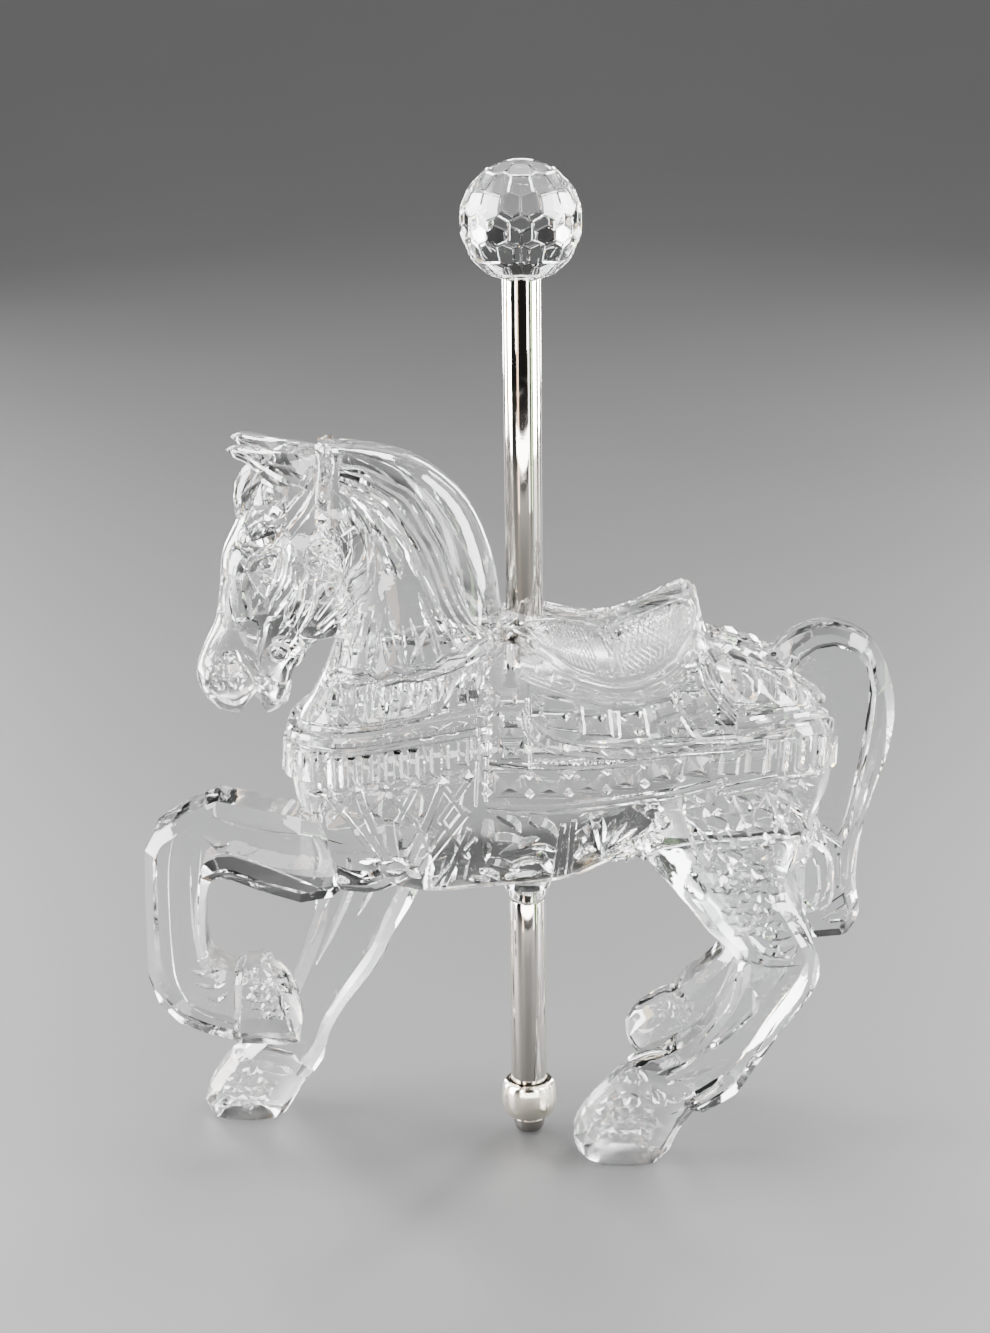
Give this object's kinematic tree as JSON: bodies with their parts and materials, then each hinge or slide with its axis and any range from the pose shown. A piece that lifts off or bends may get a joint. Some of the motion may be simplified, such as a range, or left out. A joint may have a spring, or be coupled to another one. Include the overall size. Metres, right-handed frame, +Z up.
{
  "type": "acrylic carousel horse figurine",
  "caption": "Clear moulded carousel horse figurine in a prancing pose, set on a bright rod with a faceted clear ball on top and a turned bead as its foot.",
  "frame": {"origin": "centre of the small flat under the end bead, on the rod's axis and on the surface that the figurine stands on", "axes": "+Z up along the rod, -X towards the horse's head, -Y towards the horse's left side"},
  "size_m": [0.164, 0.0407, 0.2223],
  "materials": {
    "clear_acrylic": "clear and polished",
    "chrome": "polished",
    "pale_nickel": "polished"
  },
  "bodies": {
    "root": {"horse": "clear_acrylic", "ball_finial": "clear_acrylic", "pole_upper": "chrome", "pole_lower": "chrome", "end_bead": "pale_nickel"}
  },
  "joints": []
}
